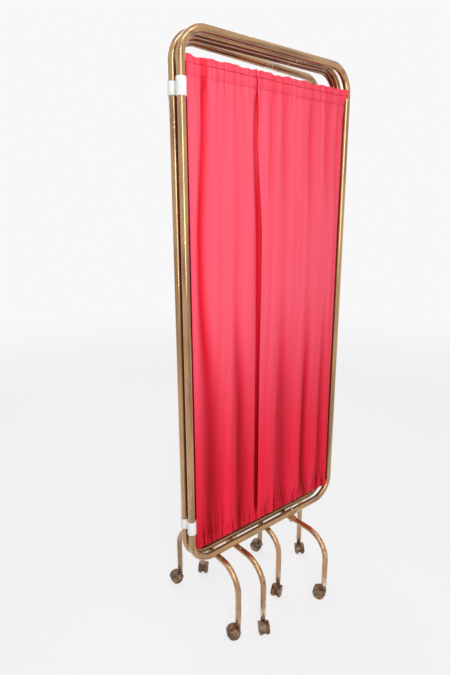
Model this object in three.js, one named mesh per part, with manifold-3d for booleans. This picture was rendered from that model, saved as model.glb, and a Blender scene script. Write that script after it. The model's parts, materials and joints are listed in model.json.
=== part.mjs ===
// Ward privacy screen on wheels: four curtained tube panels, folded into a stack.
// Millimetres, +Z up. X runs along the front panel, -Y is the side that the front panel faces.
// The origin is on the floor, under the middle of the folded stack.

import * as THREE from 'three';
import { mergeVertices } from 'three/addons/utils/BufferGeometryUtils.js';
import Module from 'manifold-3d';

const wasm = await Module();
wasm.setup();

// Panel frame: an upper arch of tube and a lower U that plugs into it
const frameTube = 22;
const panelWidth = 640;
const topRailHeight = 1759;
const bottomRailHeight = 260;
const cornerBend = 76;
const frameJointOverBend = 30;
const frameJointGap = 0.4;
const spigotDiameter = 15;
const spigotLength = 42;
const spigotRunout = 4;

// Curtain rods, and the curtain that is gathered on them by a casing along each, with a frill on top
const rodDiameter = 5;
const topRodDrop = 97;
const bottomRodRise = 56;
const rodSeatDepth = 7;
const casingHeight = 28;
const casingThickness = 9;
const casingWall = 1.4;
const frillHeight = 18;
const clothThickness = 3.4;
const foldDepth = 15.5;
const foldPitch = 50;
const foldStart = 60;
const foldStartShare = 0.8;
const foldSwellShare = 0.25;
const foldSwells = 2.3;
const foldDriftShare = 0.5;
const foldDrifts = 1.7;
const curtainSideGap = 2.4;
const dropSeamOffset = -58;
const dropSeamWidth = 16;

// Feet: a bent tube under each panel, held by a saddle and a bolt, and one straight leg
const footTube = 19;
const footSpan = 328;
const footBend = 80;
const footEndHeight = 55;
const saddlePlate = 2.8;
const saddleLength = 34;
const saddleWidth = 30;
const saddleTab = 4;
const boltDiameter = 6;
const boltHeadDiameter = 12;
const boltHeadHeight = 4;
const boltRimShare = 0.35;
const boltCrownShare = 0.5;
const nutAcross = 11;
const nutHeight = 5;
const boltTail = 4;
const stemBoreDepth = 40;

// Casters: a twin wheel on one axle under a hood that swivels on a stem
const wheelRadius = 20;
const wheelWidth = 11;
const wheelDish = 1.5;
const wheelDishShare = 0.64;
const wheelChamfer = 1.5;
const axleDiameter = 6;
const webThickness = 9;
const wheelSideGap = 0.6;
const hoodGap = 0.9;
const hoodWall = 1.8;
const hoodShoulder = 2.4;
const hoodShoulderDrop = 1.2;
const axleBossRadius = 8;
const casterTrail = 15;
const stemDiameter = 10;
const stemCollarDiameter = 15;
const stemLength = 36;

// Hinge clips: two sleeves and a web, one clip high and one low on each hinge line
const clipSpacing = 36;
const clipWall = 2.3;
const clipHeight = 44;
const clipWeb = 6;
const clipTilt = 35;
const clipAboveJoint = 4;
const clipBelowTop = 118;

// Clearances
const fitGap = 0.3;
const cutOverrun = 5;

// Facets
const tubeSides = 10;
const bendSteps = 5;
const smallSides = 8;
const wheelSides = 12;
const clipSides = 12;
const nutSides = 6;
const foldSteps = 4;

// The stack: how many panels, and how far the last one stands open at rest, in degrees
const panelCount = 4;
const lastPanelOpen = 5;

// Places along the panels, from the left tube, as shares of the width: a foot on each, a straight leg on one
const footPlaceShares = [0.688, 0.284, 0.127, 0.438];
const legPlaceShares = [null, null, 0.844, null];

// Which way each caster's wheel trails behind its stem, in degrees from +X
const casterTrails = {
  front_1: 120, rear_1: 117, front_2: 240, rear_2: 42, front_3: 150, rear_3: 165,
  front_4: 207, rear_4: 100, leg: 235,
};

const frameRadius = frameTube / 2;
const footRadius = footTube / 2;
const boltRadius = boltDiameter / 2;
const halfPanel = panelWidth / 2;
const frameJointHeight = bottomRailHeight + cornerBend + frameJointOverBend;
const topRodHeight = topRailHeight - topRodDrop;
const bottomRodHeight = bottomRailHeight + bottomRodRise;
const footTopHeight = bottomRailHeight - frameRadius - saddlePlate - footRadius;

// The wheels stand on a flat of their faceted treads
const axleHeight = wheelRadius * Math.cos(Math.PI / wheelSides);

const paint = { color: 0xa3794b, metalness: 0.75, roughness: 0.38 };
const finishes = {
  frame: paint,
  foot: { color: 0x9a6d45, metalness: 0.7, roughness: 0.42 },
  cloth: { color: 0xd82440, metalness: 0, roughness: 0.55 },
  rod: { color: 0xb9b2a4, metalness: 0.9, roughness: 0.35 },
  clip: { color: 0xf1efe9, metalness: 0, roughness: 0.4 },
  hood: { color: 0x86603f, metalness: 0.6, roughness: 0.45 },
  wheel: { color: 0x6d6257, metalness: 0, roughness: 0.7 },
  bolt: { color: 0x8f8a80, metalness: 0.9, roughness: 0.4 },
};

const rad = THREE.MathUtils.degToRad;
const point = (x, y, z) => new THREE.Vector3(x, y, z);

// A bore is drawn with its flats on the named radius, so that it clears a round shaft
const boreRadius = (radius, sides) => radius / Math.cos(Math.PI / sides);

function toSolid(geometry) {
  const bare = geometry.clone();
  bare.deleteAttribute('normal');
  bare.deleteAttribute('uv');
  const merged = mergeVertices(bare);
  const vertProperties = new Float32Array(merged.attributes.position.array);
  const triVerts = new Uint32Array(merged.index.array);
  return new wasm.Manifold(new wasm.Mesh({ numProp: 3, vertProperties, triVerts }));
}

function toMesh(name, solid, finish) {
  const data = solid.getMesh();
  const geometry = new THREE.BufferGeometry();
  geometry.setAttribute('position', new THREE.BufferAttribute(new Float32Array(data.vertProperties), 3));
  geometry.setIndex(new THREE.BufferAttribute(new Uint32Array(data.triVerts), 1));
  geometry.computeVertexNormals();
  const mesh = new THREE.Mesh(geometry, new THREE.MeshStandardMaterial(finishes[finish]));
  mesh.name = name;
  return mesh;
}

// A curve through chosen points, with one tube section at each of them
class SectionPath extends THREE.Curve {
  constructor(points) {
    super();
    this.points = points;
  }

  getUtoTmapping(u) {
    return u;
  }

  getPoint(t, target = new THREE.Vector3()) {
    const place = THREE.MathUtils.clamp(t, 0, 1) * (this.points.length - 1);
    const index = Math.min(Math.floor(place), this.points.length - 2);
    return target.lerpVectors(this.points[index], this.points[index + 1], place - index);
  }
}

// Straight runs between corners, each inner corner rounded to the bend radius
function bentPoints(corners, bend) {
  const points = [corners[0]];
  for (let i = 1; i < corners.length - 1; i++) {
    const into = corners[i].clone().sub(corners[i - 1]).normalize();
    const out = corners[i + 1].clone().sub(corners[i]).normalize();
    const turn = into.angleTo(out);
    const setback = bend * Math.tan(turn / 2);
    const start = corners[i].clone().addScaledVector(into, -setback);
    const inward = out.clone().addScaledVector(into, -out.dot(into)).normalize();
    for (let step = 0; step <= bendSteps; step++) {
      const angle = turn * step / bendSteps;
      points.push(start.clone()
        .addScaledVector(into, bend * Math.sin(angle))
        .addScaledVector(inward, bend * (1 - Math.cos(angle))));
    }
  }
  points.push(corners[corners.length - 1]);
  return points;
}

function roundShape(radius, sides) {
  const corners = [];
  for (let i = 0; i < sides; i++) {
    const angle = 2 * Math.PI * (i + 0.5) / sides;
    corners.push(new THREE.Vector2(radius * Math.cos(angle), radius * Math.sin(angle)));
  }
  return new THREE.Shape(corners);
}

function tubeAlong(corners, bend, radius, sides) {
  const path = new SectionPath(bentPoints(corners, bend));
  const steps = path.points.length - 1;
  return toSolid(new THREE.ExtrudeGeometry(roundShape(radius, sides),
    { steps, bevelEnabled: false, extrudePath: path }));
}

// A round bar between two points, with the named radius on its corners
function barBetween(start, end, radius, sides) {
  return tubeAlong([start, end], 0, radius, sides);
}

// A prism between two points, with the named radius on its flats
function boreBetween(start, end, radius, sides) {
  return tubeAlong([start, end], 0, boreRadius(radius, sides), sides);
}

// Centre of a side tube at a height, which follows the corner's bend low and high
function sideCentre(height) {
  const bendStart = bottomRailHeight + cornerBend;
  const bendEnd = topRailHeight - cornerBend;
  const inBend = Math.max(bendStart - height, height - bendEnd, 0);
  return halfPanel - cornerBend + Math.sqrt(cornerBend ** 2 - inBend ** 2);
}

// Half the clear width of the window at a height, between the side tubes and their bends
function windowHalf(height) {
  const bendStart = bottomRailHeight + cornerBend;
  const bendEnd = topRailHeight - cornerBend;
  const inBend = Math.max(bendStart - height, height - bendEnd, 0);
  return halfPanel - cornerBend + Math.sqrt((cornerBend - frameRadius) ** 2 - inBend ** 2);
}

function rodHole(side, height) {
  const seatEnd = sideCentre(height) - frameRadius + rodSeatDepth + fitGap;
  return boreBetween(point(side * seatEnd, 0, height), point(0, 0, height),
    rodDiameter / 2 + fitGap, smallSides);
}

function upperFrame() {
  const low = frameJointHeight + frameJointGap;
  let solid = tubeAlong([
    point(-halfPanel, 0, low), point(-halfPanel, 0, topRailHeight),
    point(halfPanel, 0, topRailHeight), point(halfPanel, 0, low),
  ], cornerBend, frameRadius, tubeSides);
  for (const side of [-1, 1]) {
    const boreTop = low + spigotLength + spigotRunout;
    solid = solid.subtract(boreBetween(point(side * halfPanel, 0, low - cutOverrun),
      point(side * halfPanel, 0, boreTop), spigotDiameter / 2 + fitGap, smallSides));
    solid = solid.subtract(rodHole(side, topRodHeight));
  }
  return solid;
}

function lowerFrame(boltPlaces) {
  let solid = tubeAlong([
    point(-halfPanel, 0, frameJointHeight), point(-halfPanel, 0, bottomRailHeight),
    point(halfPanel, 0, bottomRailHeight), point(halfPanel, 0, frameJointHeight),
  ], cornerBend, frameRadius, tubeSides);
  for (const side of [-1, 1]) {
    solid = solid.add(barBetween(point(side * halfPanel, 0, frameJointHeight - frameTube),
      point(side * halfPanel, 0, frameJointHeight + spigotLength), spigotDiameter / 2, smallSides));
    solid = solid.subtract(rodHole(side, bottomRodHeight));
  }
  for (const place of boltPlaces) {
    solid = solid.subtract(boreBetween(point(place, 0, bottomRailHeight - frameTube),
      point(place, 0, bottomRailHeight + frameTube), boltRadius + fitGap, smallSides));
  }
  return solid;
}

function curtainRod(height) {
  const end = sideCentre(height) - frameRadius + rodSeatDepth;
  return barBetween(point(-end, 0, height), point(end, 0, height), rodDiameter / 2, smallSides);
}

// Curtain: drawn flat round its two rods, with folds between them and a frill over the top rod
function curtain(seed) {
  const halfWidth = halfPanel - frameRadius - clipWall - curtainSideGap;
  const halfAt = (height) => Math.min(halfWidth, windowHalf(height) - curtainSideGap);
  const bottom = bottomRodHeight - casingHeight / 2;
  const top = topRodHeight + casingHeight / 2;
  const rows = [
    { height: bottom, fullness: 0, thickness: casingThickness },
    { height: bottom + casingHeight, fullness: 0, thickness: casingThickness },
    { height: bottom + casingHeight + foldStart, fullness: foldStartShare, thickness: clothThickness },
    { height: (bottom + top) / 2, fullness: 1, thickness: clothThickness },
    { height: top - casingHeight - foldStart, fullness: foldStartShare, thickness: clothThickness },
    { height: top - casingHeight, fullness: 0, thickness: casingThickness },
    { height: top, fullness: 0, thickness: casingThickness },
    { height: top + frillHeight, fullness: foldStartShare, thickness: clothThickness },
  ];
  const folds = Math.round(2 * halfWidth / foldPitch);
  const columns = folds * foldSteps;
  const reach = (foldDepth - clothThickness) / 2;
  const positions = [];
  for (const face of [-1, 1]) {
    for (const { height, fullness, thickness } of rows) {
      for (let i = 0; i <= columns; i++) {
        const across = i / columns;
        const x = halfAt(height) * (2 * across - 1);
        const rise = (height - bottom) / (top - bottom);
        const drift = foldDriftShare * rise * Math.sin(2 * Math.PI * (across * foldDrifts + seed));
        const wave = Math.sin(2 * Math.PI * (folds * across + drift + seed));
        const swell = 1 - foldSwellShare * (1 - Math.sin(2 * Math.PI * (across * foldSwells + seed)));
        const seam = Math.exp(-(((x - dropSeamOffset) / dropSeamWidth) ** 2));
        const offset = reach * fullness * THREE.MathUtils.lerp(wave * swell, 1, seam);
        positions.push(x, offset + face * thickness / 2, height);
      }
    }
  }
  const rowSize = columns + 1;
  const faceSize = rowSize * rows.length;
  const index = [];
  const quad = (a, b, c, d) => index.push(a, b, c, a, c, d);
  for (let r = 0; r < rows.length - 1; r++) {
    for (let i = 0; i < columns; i++) {
      const a = r * rowSize + i;
      quad(a, a + 1, a + rowSize + 1, a + rowSize);
      quad(faceSize + a, faceSize + a + rowSize, faceSize + a + rowSize + 1, faceSize + a + 1);
    }
  }
  for (let i = 0; i < columns; i++) {
    const last = (rows.length - 1) * rowSize + i;
    quad(i, faceSize + i, faceSize + i + 1, i + 1);
    quad(last, last + 1, faceSize + last + 1, faceSize + last);
  }
  for (let r = 0; r < rows.length - 1; r++) {
    const left = r * rowSize;
    const right = left + columns;
    quad(left, left + rowSize, faceSize + left + rowSize, faceSize + left);
    quad(right, faceSize + right, faceSize + right + rowSize, right + rowSize);
  }
  const geometry = new THREE.BufferGeometry();
  geometry.setAttribute('position', new THREE.BufferAttribute(new Float32Array(positions), 3));
  geometry.setIndex(index);
  let solid = toSolid(geometry);
  const end = halfWidth + cutOverrun;
  for (const height of [bottomRodHeight, topRodHeight]) {
    solid = solid.subtract(boreBetween(point(-end, 0, height), point(end, 0, height),
      casingThickness / 2 - casingWall, smallSides));
  }
  return solid;
}

// Half a pressed strap: a U section round a tube, open on the side away from the plate
function strapShape(tubeRadius, up) {
  const inner = tubeRadius + fitGap;
  const outer = inner + saddlePlate;
  const arc = (radius) => {
    const places = [];
    for (let i = 0; i <= smallSides; i++) {
      const angle = Math.PI * i / smallSides;
      places.push(new THREE.Vector2(radius * Math.cos(angle), up * radius * Math.sin(angle)));
    }
    return places;
  };
  const tab = -up * saddleTab;
  return new THREE.Shape([
    new THREE.Vector2(outer, tab), ...arc(outer), new THREE.Vector2(-outer, tab),
    new THREE.Vector2(-inner, tab), ...arc(inner).reverse(), new THREE.Vector2(inner, tab),
  ]);
}

function strap(tubeRadius, up, length) {
  const geometry = new THREE.ExtrudeGeometry(strapShape(tubeRadius, up),
    { depth: length, bevelEnabled: false });
  geometry.translate(0, 0, -length / 2);
  geometry.rotateX(Math.PI / 2);
  return geometry;
}

// Rail strap from below, along X, with its place at the rail's centre
function railStrap() {
  const geometry = strap(frameRadius, -1, saddleLength);
  geometry.rotateZ(Math.PI / 2);
  geometry.translate(0, 0, bottomRailHeight);
  return toSolid(geometry);
}

function railCutter() {
  return boreBetween(point(-saddleLength, 0, bottomRailHeight), point(saddleLength, 0, bottomRailHeight),
    frameRadius + fitGap, clipSides);
}

function boltCutter() {
  return boreBetween(point(0, 0, footTopHeight - footTube), point(0, 0, bottomRailHeight + frameTube),
    boltRadius + fitGap, smallSides);
}

// Saddle between the rail and the foot tube that crosses under it
function footSaddle() {
  const lower = strap(footRadius, 1, saddleWidth);
  lower.translate(0, 0, footTopHeight);
  const reach = footSpan / 2;
  const footCutter = boreBetween(point(0, -reach, footTopHeight), point(0, reach, footTopHeight),
    footRadius + fitGap, clipSides);
  return railStrap().add(toSolid(lower)).subtract(railCutter()).subtract(footCutter).subtract(boltCutter());
}

function stemBore(y) {
  return boreBetween(point(0, y, footEndHeight - cutOverrun), point(0, y, footEndHeight + stemBoreDepth),
    stemDiameter / 2 + fitGap, smallSides);
}

function footArch() {
  const reach = footSpan / 2;
  const solid = tubeAlong([
    point(0, -reach, footEndHeight), point(0, -reach, footTopHeight),
    point(0, reach, footTopHeight), point(0, reach, footEndHeight),
  ], footBend, footRadius, tubeSides);
  return solid.subtract(boltCutter()).subtract(stemBore(-reach)).subtract(stemBore(reach));
}

// Straight leg: a tube whose top is coped to the rail and welded to a strap
function supportLeg() {
  const tube = barBetween(point(0, 0, footEndHeight), point(0, 0, bottomRailHeight), footRadius, tubeSides);
  return tube.add(railStrap()).subtract(railCutter()).subtract(stemBore(0))
    .subtract(boreBetween(point(0, 0, footTopHeight - footTube), point(0, 0, bottomRailHeight),
      boltRadius + fitGap, smallSides));
}

// Bolt with a domed head on the rail and, under a foot tube, its nut
function railBolt(low, withNut) {
  const seat = bottomRailHeight + frameRadius + fitGap;
  const shank = barBetween(point(0, 0, low), point(0, 0, seat + boltHeadHeight / 2), boltRadius, smallSides);
  const headRadius = boltHeadDiameter / 2;
  const head = new THREE.LatheGeometry([
    new THREE.Vector2(0, 0), new THREE.Vector2(headRadius, 0),
    new THREE.Vector2(headRadius, boltHeadHeight * boltRimShare),
    new THREE.Vector2(headRadius * boltCrownShare, boltHeadHeight), new THREE.Vector2(0, boltHeadHeight),
  ], smallSides);
  head.rotateX(Math.PI / 2);
  head.translate(0, 0, seat);
  let solid = shank.add(toSolid(head));
  if (withNut) {
    const nutTop = footTopHeight - footRadius - fitGap;
    solid = solid.add(boreBetween(point(0, 0, nutTop - nutHeight), point(0, 0, nutTop),
      nutAcross / 2, nutSides));
  }
  return solid;
}

// Figure-of-eight clip, with its first sleeve on the origin and its second along +Y
function hingeClip() {
  const outer = frameRadius + fitGap + clipWall;
  const waist = Math.asin(clipWeb / 2 / outer);
  const sleeve = (y, start) => {
    const places = [];
    for (let i = 0; i <= tubeSides; i++) {
      const angle = start + waist + 2 * (Math.PI - waist) * i / tubeSides;
      places.push(new THREE.Vector2(outer * Math.cos(angle), y + outer * Math.sin(angle)));
    }
    return places;
  };
  const shape = new THREE.Shape([...sleeve(0, Math.PI / 2), ...sleeve(clipSpacing, -Math.PI / 2)]);
  const body = toSolid(new THREE.ExtrudeGeometry(shape, { depth: clipHeight, bevelEnabled: false }));
  const bores = [0, clipSpacing].map((y) => boreBetween(point(0, y, -cutOverrun),
    point(0, y, clipHeight + cutOverrun), frameRadius + fitGap, clipSides));
  return body.subtract(bores[0]).subtract(bores[1]);
}

const wheelInner = webThickness / 2 + wheelSideGap;
const wheelOuter = wheelInner + wheelWidth;

// Twin wheel and axle: one turned piece about Y, with its place at the axle
function casterWheels() {
  const rim = wheelRadius - wheelChamfer;
  const dishRadius = wheelDishShare * wheelRadius;
  const half = [
    [0, wheelOuter - wheelDish], [dishRadius, wheelOuter - wheelDish], [dishRadius + wheelDish, wheelOuter],
    [rim, wheelOuter], [wheelRadius, wheelOuter - wheelChamfer], [wheelRadius, wheelInner + wheelChamfer],
    [axleDiameter / 2, wheelInner],
  ];
  const profile = [...half.map(([r, y]) => [r, -y]), ...half.reverse()];
  return toSolid(new THREE.LatheGeometry(profile.map(([r, y]) => new THREE.Vector2(r, y)), wheelSides,
    Math.PI / wheelSides));
}

const hoodInner = wheelRadius + hoodGap;
const hoodOuter = hoodInner + hoodWall;

// Roof of a caster's hood: the upper half of a ring about the axle
function hoodRoof() {
  const rim = hoodOuter - hoodShoulderDrop;
  const profile = [
    [hoodInner, -wheelOuter], [rim, -wheelOuter], [hoodOuter, -wheelOuter + hoodShoulder],
    [hoodOuter, wheelOuter - hoodShoulder], [rim, wheelOuter], [hoodInner, wheelOuter],
    [hoodInner, -wheelOuter],
  ];
  const ring = toSolid(new THREE.LatheGeometry(profile.map(([r, y]) => new THREE.Vector2(r, y)), wheelSides));
  const reach = hoodOuter + cutOverrun;
  const keep = new THREE.BoxGeometry(2 * reach, 2 * reach, reach);
  keep.translate(0, 0, reach / 2);
  return ring.intersect(toSolid(keep));
}

// Web between the two wheels: a half disc under the roof, with a boss round the axle
function hoodWeb() {
  const radius = hoodInner + hoodWall / 2;
  const corners = [];
  for (let i = 0; i <= smallSides; i++) {
    const angle = Math.PI * i / smallSides;
    corners.push(new THREE.Vector2(radius * Math.cos(angle), radius * Math.sin(angle)));
  }
  for (let i = 0; i <= smallSides; i++) {
    const angle = Math.PI * (1 + i / smallSides);
    corners.push(new THREE.Vector2(axleBossRadius * Math.cos(angle), axleBossRadius * Math.sin(angle)));
  }
  const plate = new THREE.ExtrudeGeometry(new THREE.Shape(corners),
    { depth: webThickness, bevelEnabled: false });
  plate.translate(0, 0, -webThickness / 2);
  plate.rotateX(Math.PI / 2);
  return toSolid(plate);
}

// Hood, web and stem of a caster: the stem stands on the origin and the wheel trails along +X
function casterHood() {
  const collarTop = footEndHeight - fitGap - axleHeight;
  const collar = barBetween(point(-casterTrail, 0, 0), point(-casterTrail, 0, collarTop),
    stemCollarDiameter / 2, tubeSides);
  const spaceEnd = wheelOuter + cutOverrun;
  const wheelSpace = toSolid(new THREE.LatheGeometry([
    new THREE.Vector2(0, -spaceEnd), new THREE.Vector2(hoodInner, -spaceEnd),
    new THREE.Vector2(hoodInner, spaceEnd), new THREE.Vector2(0, spaceEnd),
  ], wheelSides));
  const stem = barBetween(point(-casterTrail, 0, collarTop - stemCollarDiameter / 2),
    point(-casterTrail, 0, collarTop + stemLength), stemDiameter / 2, smallSides);
  const axleBore = boreBetween(point(0, -wheelOuter, 0), point(0, wheelOuter, 0),
    axleDiameter / 2 + fitGap, clipSides);
  const solid = hoodRoof().add(collar.subtract(wheelSpace)).add(hoodWeb()).add(stem).subtract(axleBore);
  return solid.translate([casterTrail, 0, axleHeight]);
}

const shared = {
  upper: upperFrame(),
  topRod: curtainRod(topRodHeight),
  bottomRod: curtainRod(bottomRodHeight),
  arch: footArch(),
  saddle: footSaddle(),
  bolt: railBolt(footTopHeight - footRadius - nutHeight - boltTail, true),
  legBolt: railBolt(footTopHeight - footRadius, false),
  leg: supportLeg(),
  clip: hingeClip(),
  hood: casterHood(),
  wheels: casterWheels(),
};

// A caster at a place in its parent, with its wheel trailing its own way
function addCaster(parent, label, x, y, parentTurn) {
  const caster = new THREE.Group();
  caster.position.set(x, y, 0);
  caster.rotation.z = rad(casterTrails[label]) - parentTurn;
  caster.add(toMesh(`caster_hood_${label}`, shared.hood, 'hood'));
  const wheels = toMesh(`caster_wheels_${label}`, shared.wheels, 'wheel');
  wheels.position.set(casterTrail, 0, axleHeight);
  caster.add(wheels);
  parent.add(caster);
}

// One panel, built about the middle of its width, with its foot and casters
function buildPanel(number, turn) {
  const panel = new THREE.Group();
  const footX = footPlaceShares[number - 1] * panelWidth - halfPanel;
  const legShare = legPlaceShares[number - 1];
  const withLeg = legShare !== null;
  const legX = legShare * panelWidth - halfPanel;
  const frame = [
    toMesh(`upper_frame_${number}`, shared.upper, 'frame'),
    toMesh(`lower_frame_${number}`, lowerFrame(withLeg ? [footX, legX] : [footX]), 'frame'),
    toMesh(`top_curtain_rod_${number}`, shared.topRod, 'rod'),
    toMesh(`bottom_curtain_rod_${number}`, shared.bottomRod, 'rod'),
    toMesh(`curtain_${number}`, curtain(number / panelCount), 'cloth'),
  ];
  panel.add(...frame);
  const foot = [
    toMesh(`foot_arch_${number}`, shared.arch, 'foot'),
    toMesh(`foot_saddle_${number}`, shared.saddle, 'foot'),
    toMesh(`foot_bolt_${number}`, shared.bolt, 'bolt'),
  ];
  for (const piece of foot) piece.position.x = footX;
  panel.add(...foot);
  addCaster(panel, `front_${number}`, footX, -footSpan / 2, turn);
  addCaster(panel, `rear_${number}`, footX, footSpan / 2, turn);
  if (withLeg) {
    const leg = [
      toMesh('support_leg', shared.leg, 'foot'),
      toMesh('support_leg_bolt', shared.legBolt, 'bolt'),
    ];
    for (const piece of leg) piece.position.x = legX;
    panel.add(...leg);
    addCaster(panel, 'leg', legX, 0, turn);
  }
  return panel;
}

// Two clips of one hinge line, turned about the first panel's tube
function addClips(screen, label, place, tilt) {
  const heights = {
    top: topRailHeight - clipBelowTop - clipHeight,
    bottom: frameJointHeight + clipAboveJoint,
  };
  for (const [level, height] of Object.entries(heights)) {
    const clip = toMesh(`hinge_clip_${label}_${level}`, shared.clip, 'clip');
    clip.position.set(place.x, place.y, height);
    clip.rotation.z = -tilt;
    screen.add(clip);
  }
}

// The stack: each panel hangs on the one before it, by clips on alternate sides
function buildScreen() {
  const screen = new THREE.Group();
  const left = point(0, 0, 0);
  for (let number = 1; number <= panelCount; number++) {
    const isLast = number === panelCount;
    const turn = isLast ? rad(lastPanelOpen) : 0;
    const along = point(Math.cos(turn), Math.sin(turn), 0);
    const panel = buildPanel(number, turn);
    panel.position.copy(left).addScaledVector(along, halfPanel);
    panel.rotation.z = turn;
    screen.add(panel);
    if (isLast) continue;
    const tilt = number === 1 ? 0 : rad(clipTilt);
    const hingeOnLeft = number % 2 === 1;
    const pivot = left.clone().addScaledVector(along, hingeOnLeft ? 0 : panelWidth);
    addClips(screen, `${number}_${number + 1}`, pivot, tilt);
    left.add(point(clipSpacing * Math.sin(tilt), clipSpacing * Math.cos(tilt), 0));
  }
  return screen;
}

const screen = buildScreen();
screen.updateMatrixWorld(true);
const middle = new THREE.Box3().setFromObject(screen, true).getCenter(new THREE.Vector3());
screen.position.set(-middle.x, -middle.y, 0);

export default screen;
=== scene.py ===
import json
import math

import bpy
import numpy as np
from mathutils import Matrix, Vector


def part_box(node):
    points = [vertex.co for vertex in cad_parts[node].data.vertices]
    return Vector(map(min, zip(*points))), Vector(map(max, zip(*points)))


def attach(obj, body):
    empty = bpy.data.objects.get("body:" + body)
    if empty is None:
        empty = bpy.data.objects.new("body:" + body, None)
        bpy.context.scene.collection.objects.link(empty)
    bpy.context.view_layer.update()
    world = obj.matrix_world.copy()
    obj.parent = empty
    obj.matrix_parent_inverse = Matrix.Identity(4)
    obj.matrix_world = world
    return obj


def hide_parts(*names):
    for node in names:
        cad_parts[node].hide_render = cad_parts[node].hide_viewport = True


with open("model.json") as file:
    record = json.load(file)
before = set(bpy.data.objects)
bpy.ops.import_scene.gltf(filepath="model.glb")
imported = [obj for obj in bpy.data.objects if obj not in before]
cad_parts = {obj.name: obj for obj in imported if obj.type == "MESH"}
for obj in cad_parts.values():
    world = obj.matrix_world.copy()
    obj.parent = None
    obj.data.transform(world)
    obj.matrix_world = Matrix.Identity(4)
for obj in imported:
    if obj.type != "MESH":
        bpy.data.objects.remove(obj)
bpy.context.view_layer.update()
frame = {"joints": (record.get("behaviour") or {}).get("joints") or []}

# Sizes of the real screen, in metres
MM = 0.001
PANELS = (1, 2, 3, 4)
PANEL_WIDTH = 640 * MM
TUBE_RADIUS = 11 * MM
TOP_RAIL = 1759 * MM
BOTTOM_RAIL = 260 * MM
CORNER_BEND = 76 * MM
JOINT_HEIGHT = 366 * MM
JOINT_GAP = 0.4 * MM
FIT_GAP = 0.3 * MM

# Feet, with their saddles and bolts
FOOT_RADIUS = 9.5 * MM
FOOT_HALF_SPAN = 164 * MM
FOOT_BEND = 80 * MM
FOOT_END = 55 * MM
SADDLE_PLATE = 2.8 * MM
SADDLE_LENGTH = 34 * MM
SADDLE_WIDTH = 30 * MM
SADDLE_TAB = 4 * MM
SADDLE_EASE = 0.5 * MM
FOOT_TOP = BOTTOM_RAIL - TUBE_RADIUS - SADDLE_PLATE - FOOT_RADIUS
BOLT_RADIUS = 3 * MM
BOLT_HEAD = 6 * MM
BOLT_REACH = 9 * MM
NUT_RADIUS = 6.3 * MM
NUT_FACE = 5.4 * MM

# Curtain: its rods, casings, frill and drops, and the heights where its cloth turns or is stitched
TOP_ROD = 1662 * MM
BOTTOM_ROD = 316 * MM
ROD_RADIUS = 2.5 * MM
CASING_HALF = 14 * MM
CASING_BULGE = 3.3 * MM
FRILL = 18 * MM
HEM = BOTTOM_ROD - CASING_HALF
STITCH_LOW = BOTTOM_ROD + CASING_HALF
STITCH_HIGH = TOP_ROD - CASING_HALF
HEAD = TOP_ROD + CASING_HALF
CROWN = HEAD + FRILL
CLOTH_THICKNESS = 0.5 * MM
FULLNESS = 1.35
CURTAIN_LEFT = 14.2 * MM
CURTAIN_RIGHT = 625.8 * MM
DROP_SEAM = 258 * MM
SEAM_GAP = 0.4 * MM

# Hinge clips
CLIP_SPACING = 36 * MM
CLIP_WALL = 2.3 * MM
CLIP_HEIGHT = 44 * MM
CLIP_LIP = 1.2 * MM
CLIP_WEB = 6 * MM
REAR_SLEEVE_INSET = 5.5 * MM

# Casters; their round wheels are as high as the twelve-sided solids, which stand on a flat
WHEEL_RADIUS = 20 * MM
AXLE_HEIGHT = WHEEL_RADIUS * math.cos(math.pi / 12)
AXLE_RADIUS = 3 * MM
AXLE_HOLE = 3.3 * MM
CASTER_TRAIL = 15 * MM
WHEEL_INNER = 5.1 * MM
WHEEL_OUTER = 16.1 * MM
HOOD_INNER = 20.9 * MM
HOOD_OUTER = 22.7 * MM
WEB_HALF = 4.5 * MM
BOSS_RADIUS = 8 * MM
SOCKET_RADIUS = 7.5 * MM
STEM_RADIUS = 5 * MM

# Facets of round things
TUBE_SIDES = 28
BEND_STEPS = 14
TURN_SIDES = 40
ROUND_SIDES = 56
WHEEL_SIDES = 48
BOLT_SIDES = 32
AXLE_SIDES = 24

JOINTS = {joint["name"]: joint for joint in frame["joints"]}
LEFT_TUBE_JOINTS = ("clips_1_2_pivot", "panel_2_fold", "clips_3_4_pivot", "panel_4_fold")
CASTERS = [name.removeprefix("caster_swivel_") for name in JOINTS if name.startswith("caster_swivel_")]


def joint_place(name):
    return Vector(JOINTS[name]["pos_m"])


def frame_at(origin, along):
    """The place of a piece that is drawn along X and stands on the floor at a point."""
    across = Vector((0, 0, 1)).cross(along)
    turn = Matrix((along, across, Vector((0, 0, 1)))).transposed().to_4x4()
    return Matrix.Translation((origin.x, origin.y, 0)) @ turn


def panel_frame(number):
    """X along the panel from its left tube, Y to its back."""
    back = joint_place(f"caster_swivel_rear_{number}") - joint_place(f"caster_swivel_front_{number}")
    along = back.normalized().cross(Vector((0, 0, 1)))
    return frame_at(joint_place(LEFT_TUBE_JOINTS[number - 1]), along)


def caster_frame(label):
    """X from the stem to the axle."""
    axle = Vector(JOINTS[f"wheels_roll_{label}"]["axis"])
    return frame_at(joint_place(f"caster_swivel_{label}"), axle.cross(Vector((0, 0, 1))))


# Finishes


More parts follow.
